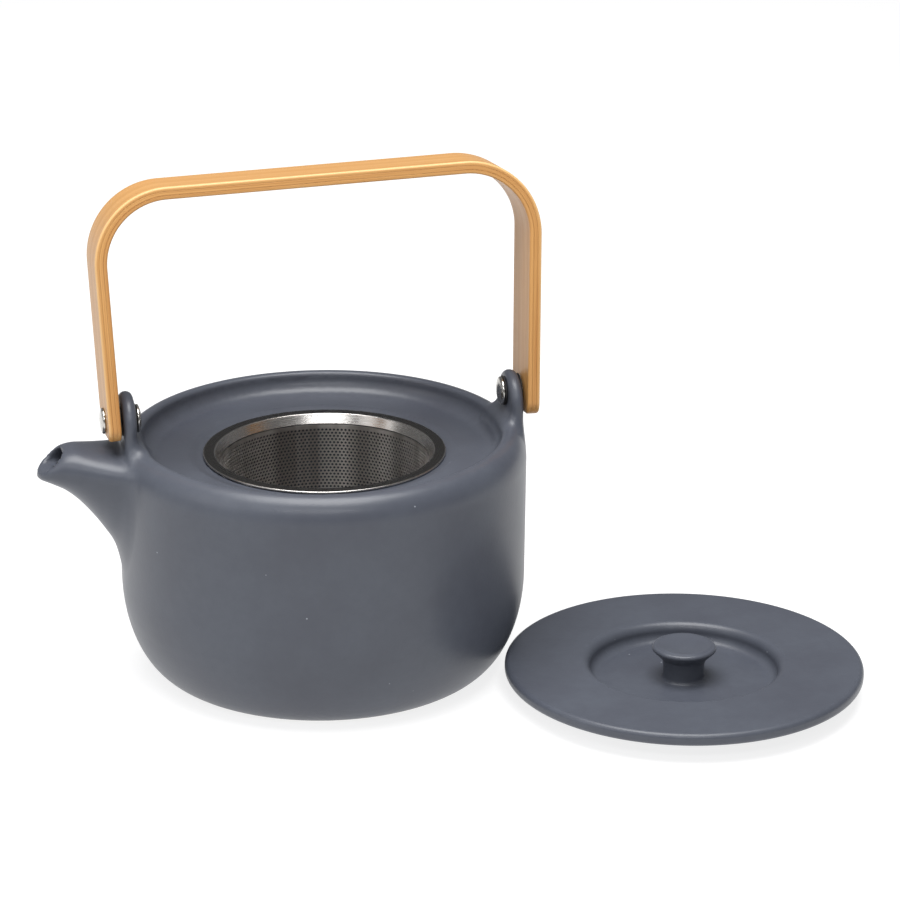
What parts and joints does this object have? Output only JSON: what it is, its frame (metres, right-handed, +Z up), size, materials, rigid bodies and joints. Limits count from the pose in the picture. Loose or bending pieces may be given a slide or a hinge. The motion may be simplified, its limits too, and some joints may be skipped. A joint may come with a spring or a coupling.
{
  "type": "teapot infuser",
  "caption": "Ceramic teapot with a bent bamboo bail, a perforated steel infuser basket in its mouth and its knobbed lid laid beside it.",
  "frame": {"origin": "centre of the pot's flat base, on the table", "axes": "+Z up, spout along -X, the bail's pivot axis along X, lid lying toward +X and -Y"},
  "size_m": [0.2924, 0.199, 0.1888],
  "materials": {
    "glaze": "satin",
    "bamboo": "satin",
    "screw_steel": "polished",
    "washer_rubber": "matte",
    "rim_steel": "satin",
    "basket_steel": "satin"
  },
  "bodies": {
    "pot": {"pot_body": "glaze", "leg_washer_spout": "washer_rubber", "leg_washer_back": "washer_rubber", "post_washer_spout": "washer_rubber", "post_washer_back": "washer_rubber"},
    "bail": {"handle_ply_outer": "bamboo", "handle_ply_core": "bamboo", "handle_ply_inner": "bamboo", "pivot_screw_spout": "screw_steel", "pivot_screw_back": "screw_steel", "pivot_post_spout": "screw_steel", "pivot_post_back": "screw_steel"},
    "infuser": {"infuser_rim": "rim_steel", "infuser_wall": "basket_steel", "infuser_base_ring": "basket_steel", "infuser_base": "basket_steel"},
    "lid": {"lid": "glaze"}
  },
  "joints": [
    {"name": "bail_swing", "type": "hinge", "parent": "pot", "child": "bail", "pos_m": [0, 0, 0.1005], "axis": [1, 0, 0], "range_deg": [-21, 34]},
    {"name": "infuser_lift", "type": "slide", "parent": "pot", "child": "infuser", "axis": [0, 0, 1], "range_m": [0, 0.08]},
    {"name": "lid_lift", "type": "slide", "parent": "pot", "child": "lid", "axis": [0.6341, -0.313, 0.7071], "range_m": [0, 0.12]}
  ]
}
